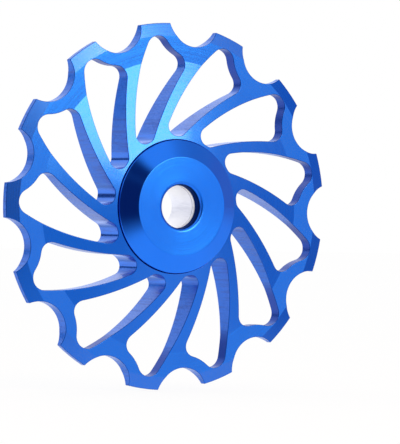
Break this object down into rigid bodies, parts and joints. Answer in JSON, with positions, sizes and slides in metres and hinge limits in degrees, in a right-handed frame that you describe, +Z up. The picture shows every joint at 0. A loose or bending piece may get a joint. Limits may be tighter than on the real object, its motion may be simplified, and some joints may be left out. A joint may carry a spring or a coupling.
{
  "type": "derailleur jockey wheel",
  "caption": "Toothed aluminium pulley with swept windows that guides a derailleur's chain, running on a sealed ball bearing between two dished covers.",
  "frame": {"origin": "wheel's centre: on the axle bore's axis, in the middle plane of the teeth", "axes": "+Y along the axle, from the front cover to the rear cover; +Z up as in the picture"},
  "size_m": [0.0508, 0.0082, 0.0511],
  "materials": {
    "wheel_anodised": "glossy blue anodised, machined",
    "cover_anodised": "glossy blue anodised, turned",
    "sleeve_steel": "polished stainless steel",
    "bearing_steel": "ground bearing steel",
    "ball_ceramic": "polished dark ceramic",
    "retainer_plastic": "moulded",
    "seal_rubber": "moulded"
  },
  "bodies": {
    "axle": {"axle_sleeve": "sleeve_steel", "bearing_inner_ring": "bearing_steel", "front_cover": "cover_anodised", "rear_cover": "cover_anodised"},
    "wheel": {"toothed_wheel": "wheel_anodised", "bearing_outer_ring": "bearing_steel", "front_seal": "seal_rubber", "rear_seal": "seal_rubber"},
    "retainer": {"ball_retainer": "retainer_plastic"},
    "ball_1": {"bearing_ball_1": "ball_ceramic"},
    "ball_2": {"bearing_ball_2": "ball_ceramic"},
    "ball_3": {"bearing_ball_3": "ball_ceramic"},
    "ball_4": {"bearing_ball_4": "ball_ceramic"},
    "ball_5": {"bearing_ball_5": "ball_ceramic"},
    "ball_6": {"bearing_ball_6": "ball_ceramic"},
    "ball_7": {"bearing_ball_7": "ball_ceramic"},
    "ball_8": {"bearing_ball_8": "ball_ceramic"},
    "ball_9": {"bearing_ball_9": "ball_ceramic"}
  },
  "joints": [
    {"name": "wheel_spin", "type": "hinge", "parent": "axle", "child": "wheel", "pos_m": [0, 0, 0], "axis": [0, 1, 0], "continuous": true},
    {"name": "retainer_orbit", "type": "hinge", "parent": "axle", "child": "retainer", "pos_m": [0, 0, 0], "axis": [0, 1, 0], "continuous": true},
    {"name": "ball_1_roll", "type": "hinge", "parent": "retainer", "child": "ball_1", "pos_m": [0, 0, 0.006], "axis": [0, 1, 0], "continuous": true},
    {"name": "ball_2_roll", "type": "hinge", "parent": "retainer", "child": "ball_2", "pos_m": [-0.00386, 0, 0.0046], "axis": [0, 1, 0], "continuous": true},
    {"name": "ball_3_roll", "type": "hinge", "parent": "retainer", "child": "ball_3", "pos_m": [-0.00591, 0, 0.00104], "axis": [0, 1, 0], "continuous": true},
    {"name": "ball_4_roll", "type": "hinge", "parent": "retainer", "child": "ball_4", "pos_m": [-0.0052, 0, -0.003], "axis": [0, 1, 0], "continuous": true},
    {"name": "ball_5_roll", "type": "hinge", "parent": "retainer", "child": "ball_5", "pos_m": [-0.00205, 0, -0.00564], "axis": [0, 1, 0], "continuous": true},
    {"name": "ball_6_roll", "type": "hinge", "parent": "retainer", "child": "ball_6", "pos_m": [0.00205, 0, -0.00564], "axis": [0, 1, 0], "continuous": true},
    {"name": "ball_7_roll", "type": "hinge", "parent": "retainer", "child": "ball_7", "pos_m": [0.0052, 0, -0.003], "axis": [0, 1, 0], "continuous": true},
    {"name": "ball_8_roll", "type": "hinge", "parent": "retainer", "child": "ball_8", "pos_m": [0.00591, 0, 0.00104], "axis": [0, 1, 0], "continuous": true},
    {"name": "ball_9_roll", "type": "hinge", "parent": "retainer", "child": "ball_9", "pos_m": [0.00386, 0, 0.0046], "axis": [0, 1, 0], "continuous": true}
  ],
  "couplings": [
    {"joint": "retainer_orbit", "follows": "wheel_spin", "ratio": 0.59921},
    {"joint": "ball_1_roll", "follows": "wheel_spin", "ratio": 2.4207},
    {"joint": "ball_2_roll", "follows": "wheel_spin", "ratio": 2.4207},
    {"joint": "ball_3_roll", "follows": "wheel_spin", "ratio": 2.4207},
    {"joint": "ball_4_roll", "follows": "wheel_spin", "ratio": 2.4207},
    {"joint": "ball_5_roll", "follows": "wheel_spin", "ratio": 2.4207},
    {"joint": "ball_6_roll", "follows": "wheel_spin", "ratio": 2.4207},
    {"joint": "ball_7_roll", "follows": "wheel_spin", "ratio": 2.4207},
    {"joint": "ball_8_roll", "follows": "wheel_spin", "ratio": 2.4207},
    {"joint": "ball_9_roll", "follows": "wheel_spin", "ratio": 2.4207}
  ]
}
